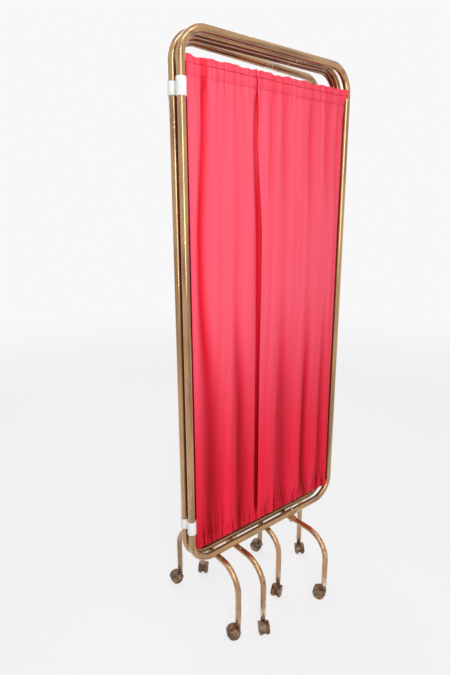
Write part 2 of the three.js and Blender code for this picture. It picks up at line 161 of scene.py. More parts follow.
class Signal:
    """A socket in a finish, on which Python's operators add Math nodes."""

    def __init__(self, finish, socket):
        self.finish = finish
        self.socket = socket

    def math(self, operation, *values):
        inputs = dict(enumerate(values))
        return self.finish.node("ShaderNodeMath", {"operation": operation}, inputs)

    def __add__(self, other):
        return self.math("ADD", self, other)

    def __sub__(self, other):
        return self.math("SUBTRACT", self, other)

    def __rsub__(self, other):
        return self.math("SUBTRACT", other, self)

    def __mul__(self, other):
        return self.math("MULTIPLY", self, other)

    def __abs__(self):
        return self.math("ABSOLUTE", self)

    def above(self, low, high):
        """0 below low, 1 over high, smooth between."""
        return self.finish.node(
            "ShaderNodeMapRange",
            {"interpolation_type": "SMOOTHSTEP"},
            {"Value": self, "From Min": low, "From Max": high},
        )

    __radd__ = __add__
    __rmul__ = __mul__


class Finish:
    """A material that is built node by node and ends in one Principled surface."""

    def __init__(self, name, **fixed):
        self.material = bpy.data.materials.new(name)
        self.material.use_nodes = True
        self.tree = self.material.node_tree
        self.surface = self.tree.nodes["Principled BSDF"]
        for socket, value in fixed.items():
            self.surface.inputs[socket.replace("_", " ")].default_value = value
        self.place = self.node("ShaderNodeTexCoord", output="Object")

    def node(self, kind, settings=None, inputs=None, output=0):
        made = self.tree.nodes.new(kind)
        for key, value in (settings or {}).items():
            setattr(made, key, value)
        for key, value in (inputs or {}).items():
            self.feed(made.inputs[key], value)
        return Signal(self, made.outputs[output])

    def feed(self, socket, value):
        if isinstance(value, Signal):
            self.tree.links.new(value.socket, socket)
        else:
            socket.default_value = value

    def noise(self, scale, detail, stretch=(1, 1, 1)):
        mapped = self.node("ShaderNodeMapping", None, {"Vector": self.place, "Scale": stretch})
        return self.node("ShaderNodeTexNoise", None, {"Vector": mapped, "Scale": scale, "Detail": detail})

    def blend(self, share, first, second):
        mixed = self.tree.nodes.new("ShaderNodeMix")
        mixed.data_type = "RGBA"
        for socket, value in zip((mixed.inputs[0], mixed.inputs[6], mixed.inputs[7]), (share, first, second)):
            self.feed(socket, (*value, 1) if isinstance(value, tuple) else value)
        return Signal(self, mixed.outputs[2])

    def axis(self, number):
        return self.node("ShaderNodeSeparateXYZ", None, {0: self.place}, number)

    def bump(self, height, distance, strength=1.0):
        inputs = {"Height": height, "Distance": distance, "Strength": strength}
        return self.node("ShaderNodeBump", None, inputs)

    def shows(self, **sockets):
        for socket, value in sockets.items():
            self.feed(self.surface.inputs[socket.replace("_", " ")], value)
        return self.material


def colour(red, green, blue):
    """A colour given as it shows on a screen, in shares of full brightness out of 255."""
    shares = [level / 255 for level in (red, green, blue)]
    return tuple(((s + 0.055) / 1.055) ** 2.4 if s > 0.04045 else s / 12.92 for s in shares)


def worn_gold(name, fresh, dull, scraped, wear_from, level_over, level_under, level_stretch, bare_under):
    """Gold enamel on tube, streaked along the tube, which lies level over one height and under another.

    It is scraped to bright metal in flecks and short lines, and in patches under a third height.
    """
    finish = Finish(name, Coat_Weight=0.9, Coat_Roughness=0.16, Coat_IOR=1.6)
    fade = 0.03
    height = finish.axis(2)
    level = height.above(level_over, level_over + fade) + 1 - height.above(level_under, level_under + fade)
    upright = finish.noise(90, 3, (1, 1, 0.04)).above(0.46, 0.66)
    lying = finish.noise(90, 3, level_stretch).above(0.46, 0.66)
    streaks = upright + (lying - upright) * level
    clouds = finish.noise(7, 4).above(0.42, 0.7)
    flecks = finish.noise(170, 2).above(wear_from, wear_from + 0.06)
    bare_end = finish.noise(16, 2).above(0.56, 0.6) * (1 - height.above(bare_under, bare_under + fade))
    rubbed = finish.noise(5, 5).above(0.62, 0.72) * finish.noise(110, 3).above(0.5, 0.62) + bare_end
    base = finish.blend(streaks * 0.7, fresh, dull)
    base = finish.blend(clouds * 0.35, base, dull)
    base = finish.blend(flecks + rubbed * 0.7, base, scraped)
    return finish.shows(
        Base_Color=base,
        Metallic=0.8 + flecks * 0.15 - clouds * 0.1,
        Roughness=0.2 + clouds * 0.06 + streaks * 0.05 - flecks * 0.02,
        Normal=finish.bump(flecks, 0.00005),
    )


def satin(name):
    """Red satin: fine weave, with painted shade down in the furrows and painted highlight on the crests, and
    a line of painted shade along each casing's stitching.
    """
    finish = Finish(name, Specular_IOR_Level=0.14, Specular_Tint=(1.0, 0.72, 0.78, 1), IOR=1.4)
    height = finish.axis(2)
    # The fold attribute carries painted shade and painted highlight: 0 in a furrow, 1 on a crest.
    fold = finish.node("ShaderNodeAttribute", {"attribute_name": "fold"}, None, "Fac")
    wander = finish.noise(38, 2) * 0.007 - 0.0035
    lines = None
    patchy = finish.noise(55, 2).above(0.3, 0.62) * 0.5 + 0.5
    # Painted shade: the cloth darkens along each stitch line, most at the frill's stitching, in patches.
    for stitch, share in ((HEAD, 0.8), (STITCH_HIGH, 0.3), (STITCH_LOW, 0.1)):
        stitch_shade = (1 - abs(height + wander - stitch).above(0.0006, 0.0032)) * share * patchy
        lines = stitch_shade if lines is None else lines + stitch_shade
    weave = finish.node(
        "ShaderNodeTexWave",
        {"wave_type": "BANDS", "bands_direction": "Z"},
        {"Vector": finish.place, "Scale": 420.0, "Distortion": 1.5, "Detail": 1.0},
    )
    # Painted light: the satin's colour runs lighter towards the top and darker towards the floor, as if lit
    # from above.
    painted_light_by_height = height.above(0.45, 1.12)
    # Painted shade: deep red for the furrows; painted highlight: pink for the crests.
    deep = finish.blend(painted_light_by_height, colour(156, 8, 18), colour(228, 26, 50))
    crest = finish.blend(painted_light_by_height, colour(246, 40, 68), colour(255, 95, 116))
    base = finish.blend(fold, deep, crest)
    # The colour of the painted shade along the stitch lines.
    base = finish.blend(lines, base, colour(196, 24, 50))
    return finish.shows(
        Base_Color=base,
        Roughness=0.56 - fold * 0.1,
        Normal=finish.bump(weave, 0.0001, 0.4),
    )


def moulded_white(name):
    """White moulded plastic, a little yellowed and scuffed."""
    finish = Finish(name, Subsurface_Weight=0.05)
    soil = finish.noise(45, 4).above(0.5, 0.8)
    base = finish.blend(soil * 0.5, colour(246, 245, 241), colour(214, 208, 196))
    return finish.shows(Base_Color=base, Roughness=0.38 + soil * 0.2, Normal=finish.bump(soil, 0.0002))


def caster_brown(name, light, dark):
    """Brown caster plastic, dusty and rubbed lighter in patches."""
    finish = Finish(name)
    rub = finish.noise(70, 4).above(0.42, 0.68)
    dust = finish.noise(26, 2).above(0.5, 0.75)
    base = finish.blend(rub, dark, light)
    base = finish.blend(dust * 0.4, base, colour(168, 156, 144))
    return finish.shows(
        Base_Color=base, Roughness=0.36 + dust * 0.3, Metallic=0.25 * rub, Normal=finish.bump(rub, 0.0003)
    )


def bright_steel(name):
    """Zinc-plated steel with fine drawn lines."""
    finish = Finish(name, Metallic=0.9)
    lines = finish.noise(300, 2, (0.1, 1, 1))
    base = finish.blend(lines, colour(150, 142, 130), colour(196, 190, 180))
    return finish.shows(Base_Color=base, Roughness=0.3 + lines * 0.2, Normal=finish.bump(lines, 0.0001))


FRAME_GOLD = worn_gold(
    "frame_gold",
    fresh=colour(186, 142, 88),
    dull=colour(96, 62, 32),
    scraped=colour(246, 226, 190),
    wear_from=0.7,
    level_over=TOP_RAIL - CORNER_BEND / 2,
    level_under=BOTTOM_RAIL + CORNER_BEND / 4,
    level_stretch=(0.04, 1, 1),
    bare_under=0,
)
FOOT_GOLD = worn_gold(
    "foot_gold",
    fresh=colour(190, 144, 90),
    dull=colour(102, 68, 40),
    scraped=colour(240, 222, 198),
    wear_from=0.66,
    level_over=FOOT_TOP - FOOT_BEND / 2,
    level_under=-FOOT_BEND,
    level_stretch=(1, 0.04, 1),
    bare_under=FOOT_END + 12 * MM,
)
SATIN = satin("red_satin")
CLIP_WHITE = moulded_white("clip_white")
HOOD_BROWN = caster_brown("hood_brown", colour(158, 116, 74), colour(82, 52, 32))
WHEEL_BROWN = caster_brown("wheel_brown", colour(170, 138, 100), colour(96, 72, 50))
STEEL = bright_steel("plated_steel")


# Modelling


def deselect():
    if bpy.context.object and bpy.context.object.mode != "OBJECT":
        bpy.ops.object.mode_set(mode="OBJECT")
    bpy.ops.object.select_all(action="DESELECT")


def settle(name, place, material, body, stands_for, angle=35):
    """Names the piece in hand, puts it at its place in its mesh, and gives it its finish and its body."""
    piece = bpy.context.object
    bpy.ops.object.transform_apply(location=True, rotation=True, scale=True)
    piece.name = name
    piece.data.name = name
    piece.data.transform(place)
    piece.data.update()
    bpy.ops.object.shade_smooth_by_angle(angle=math.radians(angle))
    piece.data.materials.clear()
    piece.data.materials.append(material)
    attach(piece, body)
    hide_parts(stands_for)


def run(step):
    bpy.ops.mesh.extrude_region_move(TRANSFORM_OT_translate={"value": step})


def bend(centre, axis):
    """A quarter turn about an axis through a point."""
    bpy.ops.mesh.spin(steps=BEND_STEPS, angle=math.pi / 2, center=centre, axis=axis)


def start_ring(radius, place, sides):
    """A level ring, open for editing."""
    deselect()
    bpy.ops.mesh.primitive_circle_add(vertices=sides, radius=radius, location=place)
    bpy.ops.object.transform_apply(location=True)
    bpy.ops.object.mode_set(mode="EDIT")
    bpy.ops.mesh.select_all(action="SELECT")


def close_ends():
    bpy.ops.mesh.select_all(action="SELECT")
    bpy.ops.mesh.fill_holes(sides=0)
    bpy.ops.mesh.select_all(action="SELECT")
    bpy.ops.mesh.normals_make_consistent(inside=False)
    bpy.ops.object.mode_set(mode="OBJECT")


def draw_tube(radius, start, moves):
    """A level ring, pushed along straight runs and spun round bends, then closed."""
    start_ring(radius, start, TUBE_SIDES)
    for move, *values in moves:
        move(*values)
    bpy.ops.mesh.select_all(action="SELECT")
    bpy.ops.mesh.remove_doubles(threshold=MM / 100)
    close_ends()
    ease_ends()


def turned(profile, sides=TURN_SIDES):
    """A piece as from a lathe, about Z: a ring that is pushed and widened along (radius, height) pairs."""
    start_ring(profile[0][0], (0, 0, profile[0][1]), sides)
    for (radius, height), (next_radius, next_height) in zip(profile, profile[1:]):
        run((0, 0, next_height - height))
        share = next_radius / radius
        bpy.ops.transform.resize(value=(share, share, 1), center_override=(0, 0, next_height))
    close_ends()
    return bpy.context.object


def ease_ends(width=0.7 * MM):
    """Takes the sharpness off the edges of the piece in hand."""
    piece = bpy.context.object
    bevel = piece.modifiers.new("ease", "BEVEL")
    bevel.limit_method = "ANGLE"
    bevel.angle_limit = math.radians(40)
    bevel.width = width
    bevel.segments = 2
    bpy.ops.object.modifier_apply(modifier=bevel.name)


def combine(piece, other, operation):
    """Changes the first piece by the second one, which is dropped, and leaves the first in hand."""
    deselect()
    piece.select_set(True)
    bpy.context.view_layer.objects.active = piece
    step = piece.modifiers.new("combine", "BOOLEAN")
    step.operation = operation
    step.solver = "EXACT"
    step.object = other
    bpy.ops.object.modifier_apply(modifier=step.name)
    bpy.data.objects.remove(other)
    return piece


def join(piece, other):
    return combine(piece, other, "UNION")


def cut(piece, other):
    return combine(piece, other, "DIFFERENCE")


def box(low, high):
    deselect()
    middle = [(a + b) / 2 for a, b in zip(low, high)]
    bpy.ops.mesh.primitive_cube_add(size=1, location=middle)
    bpy.context.object.scale = [b - a for a, b in zip(low, high)]
    bpy.ops.object.transform_apply(location=True, scale=True)
    return bpy.context.object


def shifted(piece, turn):
    piece.data.transform(turn)
    return piece


def lifted(piece, height):
    return shifted(piece, Matrix.Translation((0, 0, height)))


def lying_bar(radius, half_length, along, sides=TURN_SIDES):
    """A round bar through the origin, along X or Y."""
    about = {"X": "Y", "Y": "X"}[along]
    bar = turned([(radius, -half_length), (radius, half_length)], sides)
    return shifted(bar, Matrix.Rotation(math.pi / 2, 4, about))


def copy_of(master):
    """Another piece of the same shape, with its own mesh, in hand."""
    deselect()
    twin = master.copy()
    twin.data = master.data.copy()
    bpy.context.scene.collection.objects.link(twin)
    twin.select_set(True)
    bpy.context.view_layer.objects.active = twin


def frame_tube(start, side, turn, way):
    """Half of a panel's frame, bent over at the top with way 1 and under at the bottom with way -1."""
    rail = PANEL_WIDTH - 2 * CORNER_BEND
    axis = (0, -way, 0)
    draw_tube(TUBE_RADIUS, (0, 0, start), [
        (run, (0, 0, way * side)),
        (bend, (CORNER_BEND, 0, turn), axis),
        (run, (rail, 0, 0)),
        (bend, (PANEL_WIDTH - CORNER_BEND, 0, turn), axis),
        (run, (0, 0, -way * side)),
    ])


def panel_tubes(number):
    place = panel_frame(number)
    body = f"panel_{number}"
    low = JOINT_HEIGHT + JOINT_GAP
    turn = TOP_RAIL - CORNER_BEND
    frame_tube(low, turn - low, turn, 1)
    settle(f"upper_tube_{number}", place, FRAME_GOLD, body, f"upper_frame_{number}")
    frame_tube(JOINT_HEIGHT, JOINT_HEIGHT - BOTTOM_RAIL - CORNER_BEND, BOTTOM_RAIL + CORNER_BEND, -1)
    settle(f"lower_tube_{number}", place, FRAME_GOLD, body, f"lower_frame_{number}")


def foot_frame(front, rear):
    """X along the panel and Y to its back, under the middle of a foot."""
    back = (joint_place(rear) - joint_place(front)).normalized()
    middle = (joint_place(rear) + joint_place(front)) / 2
    return frame_at(middle, back.cross(Vector((0, 0, 1))))


def foot_arch(number, place):
    side = FOOT_TOP - FOOT_BEND - FOOT_END
    rail = 2 * (FOOT_HALF_SPAN - FOOT_BEND)
    turn = FOOT_TOP - FOOT_BEND
    draw_tube(FOOT_RADIUS, (0, -FOOT_HALF_SPAN, FOOT_END), [
        (run, (0, 0, side)),
        (bend, (0, FOOT_BEND - FOOT_HALF_SPAN, turn), (1, 0, 0)),
        (run, (0, rail, 0)),
        (bend, (0, FOOT_HALF_SPAN - FOOT_BEND, turn), (1, 0, 0)),
        (run, (0, 0, -side)),
    ])
    settle(f"foot_tube_{number}", place, FOOT_GOLD, f"panel_{number}", f"foot_arch_{number}")


def rail_bore():
    return lying_bar(TUBE_RADIUS + FIT_GAP, SADDLE_LENGTH, "X")


def foot_bore():
    return lying_bar(FOOT_RADIUS + FIT_GAP, SADDLE_WIDTH, "Y")


def rail_strap():
    """Pressed strap round the underside of the bottom rail, which runs along X, with a lip at each side."""
    outer = TUBE_RADIUS + FIT_GAP + SADDLE_PLATE
    strap = lying_bar(outer, SADDLE_LENGTH / 2, "X")
    cut(strap, box((-SADDLE_LENGTH, -2 * outer, SADDLE_TAB), (SADDLE_LENGTH, 2 * outer, 2 * outer)))
    return cut(strap, rail_bore())


def foot_strap():
    """The same over the top of the foot tube, which runs along Y."""
    outer = FOOT_RADIUS + FIT_GAP + SADDLE_PLATE
    strap = lying_bar(outer, SADDLE_WIDTH / 2, "Y")
    cut(strap, box((-2 * outer, -SADDLE_WIDTH, -2 * outer), (2 * outer, SADDLE_WIDTH, -SADDLE_TAB)))
    return cut(strap, foot_bore())


def saddle_shape():
    """Both straps as one pressing, open along both tubes."""
    saddle = lifted(rail_strap(), BOTTOM_RAIL)
    join(saddle, lifted(foot_strap(), FOOT_TOP))
    cut(saddle, lifted(rail_bore(), BOTTOM_RAIL))
    cut(saddle, lifted(foot_bore(), FOOT_TOP))
    ease_ends(SADDLE_EASE)
    return saddle


def support_leg(place):
    """Straight tube under the third panel's rail, coped and welded to its strap."""
    seat = BOTTOM_RAIL - TUBE_RADIUS
    leg = turned([(FOOT_RADIUS, FOOT_END), (FOOT_RADIUS, seat)], TUBE_SIDES)
    join(leg, turned([
        (FOOT_RADIUS, seat - 7 * MM), (FOOT_RADIUS + 1.2 * MM, seat - 5 * MM),
        (FOOT_RADIUS + 1.6 * MM, seat - 1.5 * MM), (FOOT_RADIUS, seat),
    ]))
    join(leg, lifted(rail_strap(), BOTTOM_RAIL))
    cut(leg, lifted(rail_bore(), BOTTOM_RAIL))
    ease_ends(SADDLE_EASE)
    settle("straight_leg", place, FOOT_GOLD, "panel_3", "support_leg")


def domed_bolt(low):
    """Bolt with a domed head and a washer face, and a chamfered end."""
    seat = BOTTOM_RAIL + TUBE_RADIUS + FIT_GAP
    return turned([
        (BOLT_RADIUS - 0.6 * MM, low), (BOLT_RADIUS, low + 0.6 * MM), (BOLT_RADIUS, seat),
        (BOLT_HEAD - 0.5 * MM, seat), (BOLT_HEAD, seat + 0.5 * MM), (BOLT_HEAD, seat + 1.2 * MM),
        (BOLT_HEAD * 0.86, seat + 2.6 * MM), (BOLT_HEAD * 0.55, seat + 3.6 * MM),
        (BOLT_HEAD * 0.2, seat + 4 * MM),
    ], BOLT_SIDES)


def bolt_and_nut():
    bolt = domed_bolt(FOOT_TOP - FOOT_RADIUS - BOLT_REACH)
    top = FOOT_TOP - FOOT_RADIUS - FIT_GAP
    nut = turned([
        (NUT_FACE, top - 5 * MM), (NUT_RADIUS, top - 4.4 * MM), (NUT_RADIUS, top - 0.6 * MM), (NUT_FACE, top),
    ], 6)
    return join(bolt, nut)


def feet():
    saddle = saddle_shape()
    bolt = bolt_and_nut()
    for number in PANELS:
        place = foot_frame(f"caster_swivel_front_{number}", f"caster_swivel_rear_{number}")
        foot_arch(number, place)
        body = f"panel_{number}"
        copy_of(saddle)
        settle(f"saddle_{number}", place, FOOT_GOLD, body, f"foot_saddle_{number}")
        copy_of(bolt)
        settle(f"saddle_bolt_{number}", place, STEEL, body, f"foot_bolt_{number}")
    bpy.data.objects.remove(saddle)
    bpy.data.objects.remove(bolt)
    place = frame_at(joint_place("caster_swivel_leg"), panel_frame(3).col[0].xyz)
    support_leg(place)
    domed_bolt(FOOT_TOP - FOOT_RADIUS)
    settle("leg_bolt", place, STEEL, "panel_3", "support_leg_bolt")


def sleeve(low, high):
    """A clip's sleeve before its bore, with rounded lips."""
    outer = TUBE_RADIUS + FIT_GAP + CLIP_WALL
    return turned([
        (outer - CLIP_LIP, low), (outer - 0.35 * CLIP_LIP, low + 0.3 * CLIP_LIP), (outer, low + CLIP_LIP),
        (outer, high - CLIP_LIP), (outer - 0.35 * CLIP_LIP, high - 0.3 * CLIP_LIP), (outer - CLIP_LIP, high),
    ], ROUND_SIDES)


def clip_shape():
    """Two sleeves side by side along Y, the rear one shorter, joined by a web."""
    inner = TUBE_RADIUS + FIT_GAP
    outer = inner + CLIP_WALL
    clip = sleeve(0, CLIP_HEIGHT)
    rear = sleeve(REAR_SLEEVE_INSET, CLIP_HEIGHT - REAR_SLEEVE_INSET)
    join(clip, shifted(rear, Matrix.Translation((0, CLIP_SPACING, 0))))
    half = CLIP_WEB / 2
    low = REAR_SLEEVE_INSET + 1 * MM
    join(clip, box((-half, outer - 2 * MM, low), (half, CLIP_SPACING - outer + 2 * MM, CLIP_HEIGHT - low)))
    for y in (0, CLIP_SPACING):
        bore = turned([(inner, -CLIP_HEIGHT), (inner, 2 * CLIP_HEIGHT)], ROUND_SIDES)
        cut(clip, shifted(bore, Matrix.Translation((0, y, 0))))
    return clip


def clips():
    master = clip_shape()
    for first in PANELS[:-1]:
        label = f"{first}_{first + 1}"
        start = joint_place(f"clips_{label}_pivot")
        reach = joint_place(f"panel_{first + 1}_fold") - start
        along = Vector((reach.x, reach.y, 0)).normalized().cross(Vector((0, 0, 1)))
        for level in ("top", "bottom"):
            node = f"hinge_clip_{label}_{level}"
            copy_of(master)
            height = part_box(node)[0][2]
            place = Matrix.Translation((0, 0, height)) @ frame_at(start, along)
            settle(f"clip_{label}_{level}", place, CLIP_WHITE, f"clips_{label}", node)
    bpy.data.objects.remove(master)


# Curtains: each panel has two drops, gathered on two rods

# The folds of a drop, from its side nearest the left tube, in millimetres: where a furrow runs low, at the
# middle and high, how deep it is there, and half its width there
LEFT_FURROWS = (
    ((74, 51, 64), (11.0, 11.0, 10.5), (27, 13, 11)),
    ((192, 174, 171), (11.0, 2.4, 2.0), (21, 13, 10)),
    ((263, 265, 247), (10.0, 10.5, 9.0), (13, 12, 10)),
)
RIGHT_FURROWS = (
    ((305, 304, 306), (0.0, 0.4, 4.0), (9, 9, 9)),
    ((376, 366, 361), (9.0, 1.2, 5.0), (26, 16, 14)),
    ((488, 486, 474), (10.0, 0.8, 5.5), (16, 12, 17)),
    ((573, 570, 552), (9.0, 0.8, 5.0), (13, 10, 14)),
    ((607, 605, 595), (2.5, 2.0, 4.5), (8, 8, 12)),
)
# How far a drop's edges run off their upright, low, at the middle and high
STRAIGHT = (0, 0, 0)
SEAM_PATH = (8, 11, -7)
RIGHT_PULL = (-6, -4, 0)

# How far the left drop runs on behind the right one, how far the right one's frill droops at the seam, and
# how far to the left each panel's folds lie of the ones before it
SEAM_LAP = 9
FRILL_DROOP = 1.6
FOLD_SHIFT = 4

# How far back the cloth lies of its rods' plane: on a crest, in the deepest furrow and at a stitch line
CREST = -6.8
DEEPEST = 6.6
STITCHED = -2.6

# Gathers that leave a stitch line: their pitch, and the least and most of width, length and depth
TOP_GATHERS = ((13, (2.4, 4.0), (14, 80), (0.9, 2.6)), (29, (3.4, 6.0), (100, 380), (1.4, 3.0)))
LOW_GATHERS = ((12, (2.6, 4.4), (16, 60), (1.6, 3.8)), (33, (4.5, 8.0), (60, 180), (2.0, 4.2)))
LOW_RIDGES = ((15, (1.4, 2.6), (24, 95), (1.2, 3.2)), (44, (2.4, 4.2), (90, 230), (1.4, 2.8)))

# The cloth's grid: height of a row and width of a column, fine on the front panel
FINE_GRID = (7 * MM, 2.0 * MM)
COARSE_GRID = (11 * MM, 3.2 * MM)
CASING_ROWS = 9
FRILL_ROWS = 5
HEM_TURN = 0.4 * MM
FRILL_TURN = 0.3 * MM


def smooth(value, low, high):
    share = np.clip((value - low) / (high - low), 0, 1)
    return share * share * (3 - 2 * share)


def along(rise, three):
    """Stays as it is low down, at the middle and high up, and goes smoothly from one value to the next."""
    low, middle, high = three
    return low + (middle - low) * smooth(rise, 0.3, 0.62) + (high - middle) * smooth(rise, 0.68, 0.92)


def furrow_depth(place, rise, furrows, seed):
    depth = np.zeros_like(place)
    for line, deep, half_widths in furrows:
        wander = 2 * np.sin(2 * math.pi * (1.3 * rise + line[0] / 97 + seed))
        off = (place - along(rise, line) - wander) / along(rise, half_widths)
        shape = 0.75 * np.exp(-off ** 2) + 0.25 * np.exp(-((off / 1.6) ** 2))
        depth += along(rise, deep) * shape
    return depth


def ripples(place, rise, seed):
    """Broad, slow waves between the furrows, and narrower ones here and there."""
    drift = 0.5 * np.sin(2 * math.pi * (0.8 * rise + seed))
    patch = 0.5 + 0.5 * np.sin(2 * math.pi * (place / 173 + 0.7 * rise + seed))
    broad = 0.7 * np.sin(2 * math.pi * (place / 61 - 0.5 * rise + 3 * seed))
    narrow = 0.7 * np.sin(2 * math.pi * (place / 33 + drift + seed)) * patch
    return 0.6 + broad + narrow


def gathers(place, reach, ends, seed, kinds):
    """Small pinches that leave a stitch line and die out, each at its own length."""
    chance = np.random.default_rng(seed)
    height = np.zeros_like(place)
    start, end = ends
    for pitch, widths, lengths, depths in kinds:
        line = start + 4
        while line < end - 3:
            width = chance.uniform(*widths)
            length = chance.uniform(*lengths)
            slant = chance.uniform(-0.11, 0.11)
            off = (place - line - slant * reach) / (width * (1 + 0.8 * reach / length))
            height += chance.uniform(*depths) * np.exp(-((reach / length) ** 1.4)) * np.exp(-off ** 2)
            line += pitch * chance.uniform(0.65, 1.35)
    return height


def drop_rows(step):
    """Heights from the bottom casing's back, round its fold, up the front and over the frill to its back.

    With each height goes the face of the cloth there: 1 at the back, -1 at the front, 0 at a fold.
    """
    count = round((STITCH_HIGH - STITCH_LOW) / step)
    stretches = (
        (1, np.linspace(STITCH_LOW, HEM + HEM_TURN, CASING_ROWS)),
        (0, [HEM]),
        (-1, np.linspace(HEM + HEM_TURN, STITCH_LOW, CASING_ROWS)),
        (-1, np.linspace(STITCH_LOW, STITCH_HIGH, count + 1)[1:]),
        (-1, np.linspace(STITCH_HIGH, HEAD, CASING_ROWS)[1:]),
        (-1, np.linspace(HEAD, CROWN - FRILL_TURN, FRILL_ROWS)[1:]),
        (0, [CROWN]),
        (1, np.linspace(CROWN - FRILL_TURN, HEAD, FRILL_ROWS)),
        (1, np.linspace(HEAD, STITCH_HIGH, CASING_ROWS)[1:]),
    )
    return np.array([(z, face) for face, heights in stretches for z in heights])


def round_rod(height):
    """How far the cloth of a casing must stand off its rod's plane to pass round the rod."""
    off = np.minimum(np.abs(height - TOP_ROD), np.abs(height - BOTTOM_ROD))
    return np.sqrt(np.clip(ROD_RADIUS ** 2 - off ** 2, 0, None)) + CLOTH_THICKNESS + 0.1 * MM


def belly(height, middle):
    """How far a casing stands off its rod's plane at a height, 0 at its stitch lines or fold."""
    off = np.clip((height - middle) / CASING_HALF, -1, 1)
    return CASING_BULGE * np.sqrt(1 - off ** 2)


def body_depth(place, rise, ends, furrows, seed, goes_under):
    """How far back the cloth hangs between its casings, in millimetres."""
    body = CREST + furrow_depth(place, rise, furrows, seed / 7) + ripples(place, rise, seed / 5)
    return np.minimum(body + edge_turn(place, ends, rise, goes_under), DEEPEST)


def edge_turn(place, ends, rise, goes_under):
    """The left drop runs on behind the right one's edge, which turns in; at the tubes they barely turn."""
    start, end = ends
    if goes_under:
        return 5 * smooth(place, end - 6, end + 8) + 2 * np.exp(-(((place - start) / 8) ** 2))
    turn_in = 3.5 * smooth(rise, 0.98, 0.5)
    return turn_in * np.exp(-(((place - start) / 10) ** 2)) + 6 * np.exp(-(((place - end) / 8) ** 2))


def casing_depth(place, height, face, crown, pinch, seed):
    """How far back the cloth lies in its casings, where it passes round a rod, and in its wavy frill."""
    stand = belly(height, TOP_ROD) + belly(height, BOTTOM_ROD) + 0.4 * MM
    wave = (1.6 * np.sin(place / 5.3 + seed) + 1.9 * np.sin(place / 9.7 + 2 * seed)) * MM
    ruffle = (pinch - 1.4) * MM
    depth = face * (stand + 0.5 * MM * crown) + 0.42 * ruffle + wave * crown
    return np.where(crown > 0, depth, face * np.maximum(face * depth, round_rod(height)))


def scalloped(place, height, across, crown, droop, seed):
    """The heights of the cloth, with the frill's top and the hem a little uneven."""
    scallop = (0.9 * np.sin(place / 5.9 + 3 * seed) + 1.3 * np.sin(place / 12.9 + seed)) * MM
    scallop = scallop + 1.0 * MM * np.sin(place / 23.7 + 2 * seed)
    hem = smooth(height, BOTTOM_ROD, HEM)
    return height + crown * (scallop - droop * MM * smooth(across, 0.08, 0.0)) + hem * 0.8 * np.abs(scallop)


def fold_shade_and_highlight(body, pinch, height, reach_low, reach_high, crown):
    """How far up a fold the cloth is, from 0 in a furrow to 1 on a crest, for its colour: painted shade in
    the furrows and gathers, painted highlight on the crests and ridges, stronger near the hem.
    """
    sewn_high = smooth(height, STITCH_HIGH - 8 * MM, STITCH_HIGH + 8 * MM)
    sewn_low = smooth(height, STITCH_LOW + 10 * MM, STITCH_LOW - 4 * MM)
    sunk = (body - STITCHED) * 0.085 * (1 - 0.35 * sewn_high - 0.4 * sewn_low - 0.3 * crown)
    near_hem = 1.6 * np.exp(-reach_low / 90) + 0.9 * np.exp(-reach_high / 200)
    return np.clip(0.62 - sunk - (pinch - 1.0) * (0.05 + 0.07 * near_hem), 0, 1)


def drop_points(start, end, furrows, seed, grid, laps, edges):
    """A drop in rows and columns: its points on the panel, its flat coordinates and its share of painted fold
    shade and highlight.
    """
    row_height, column_width = grid
    rows = drop_rows(row_height)
    height = rows[:, 0][:, None]
    face = rows[:, 1][:, None]
    columns = round((end - start) / column_width)
    across = np.linspace(0, 1, columns + 1)[None, :]
    rise = np.clip((height - STITCH_LOW) / (STITCH_HIGH - STITCH_LOW), 0, 1) + 0 * across
    reach_high = np.clip(STITCH_HIGH - height, 0, None) / MM + 0 * across
    reach_low = np.clip(height - STITCH_LOW, 0, None) / MM + 0 * across
    loose = smooth(reach_high, 0, 48) * smooth(reach_low, 0, 40)
    left_path, right_path, under, droop = edges
    left = start + MM * along(rise, left_path)
    right = end + MM * along(rise, right_path) + MM * under * loose
    x = left + (right - left) * across
    place = x / MM
    ends = (start / MM, end / MM)
    pinch_high = gathers(place, reach_high, ends, seed, TOP_GATHERS)
    pinch_low = gathers(place, reach_low, ends, seed + 50, LOW_GATHERS)
    pinch = pinch_high + pinch_low - gathers(place, reach_low, ends, seed + 90, LOW_RIDGES)
    body = body_depth(place, rise, ends, furrows, seed, under > 0)
    front = (STITCHED + (body - STITCHED) * loose + (pinch - 1.2) * (0.9 - 0.2 * loose)) * MM
    crown = smooth(height, HEAD, CROWN)
    near_pinch = np.where(height > (TOP_ROD + BOTTOM_ROD) / 2, pinch_high, pinch_low)
    casing = casing_depth(place, height, face, crown, near_pinch, seed)
    near_stitch = 1 - np.minimum(np.minimum(reach_high, reach_low) / 12, 1)
    in_body = (face < 0) & (height > STITCH_LOW) & (height < STITCH_HIGH)
    depth = np.where(in_body, blend_to(front, casing, near_stitch), casing)
    z = scalloped(place, height, across, crown, droop, seed)
    if laps:
        x, depth = lapped(x, depth, z, place)
    widths = np.linspace(0, (end - start) * FULLNESS, columns + 1)[None, :] + 0 * z
    steps = np.abs(np.diff(rows[:, 0], prepend=rows[0, 0]))
    lengths = np.cumsum(steps)[:, None] + 0 * z
    fold = fold_shade_and_highlight(body, pinch, height, reach_low, reach_high, crown)
    return np.stack((x, depth, z), -1), widths, lengths, fold


def blend_to(first, second, share):
    share = np.clip(share, 0, 1) ** 2
    return first + (second - first) * share


def lapped(x, depth, z, place):
    """The ends of heading and casing lap softly over the front of the right tube."""
    upper = smooth(z, TOP_ROD - 6 * MM, TOP_ROD + CASING_HALF)
    lower = smooth(z, BOTTOM_ROD + 17 * MM, BOTTOM_ROD + 8 * MM)
    lap = np.maximum(upper, lower * 0.5) * smooth(place, 596, 625)
    front = np.where(depth < 3 * MM, -12.3 * MM + (depth - CREST * MM) * 0.12, -11.6 * MM)
    return x + 6.5 * MM * lap, depth + (front - depth) * lap


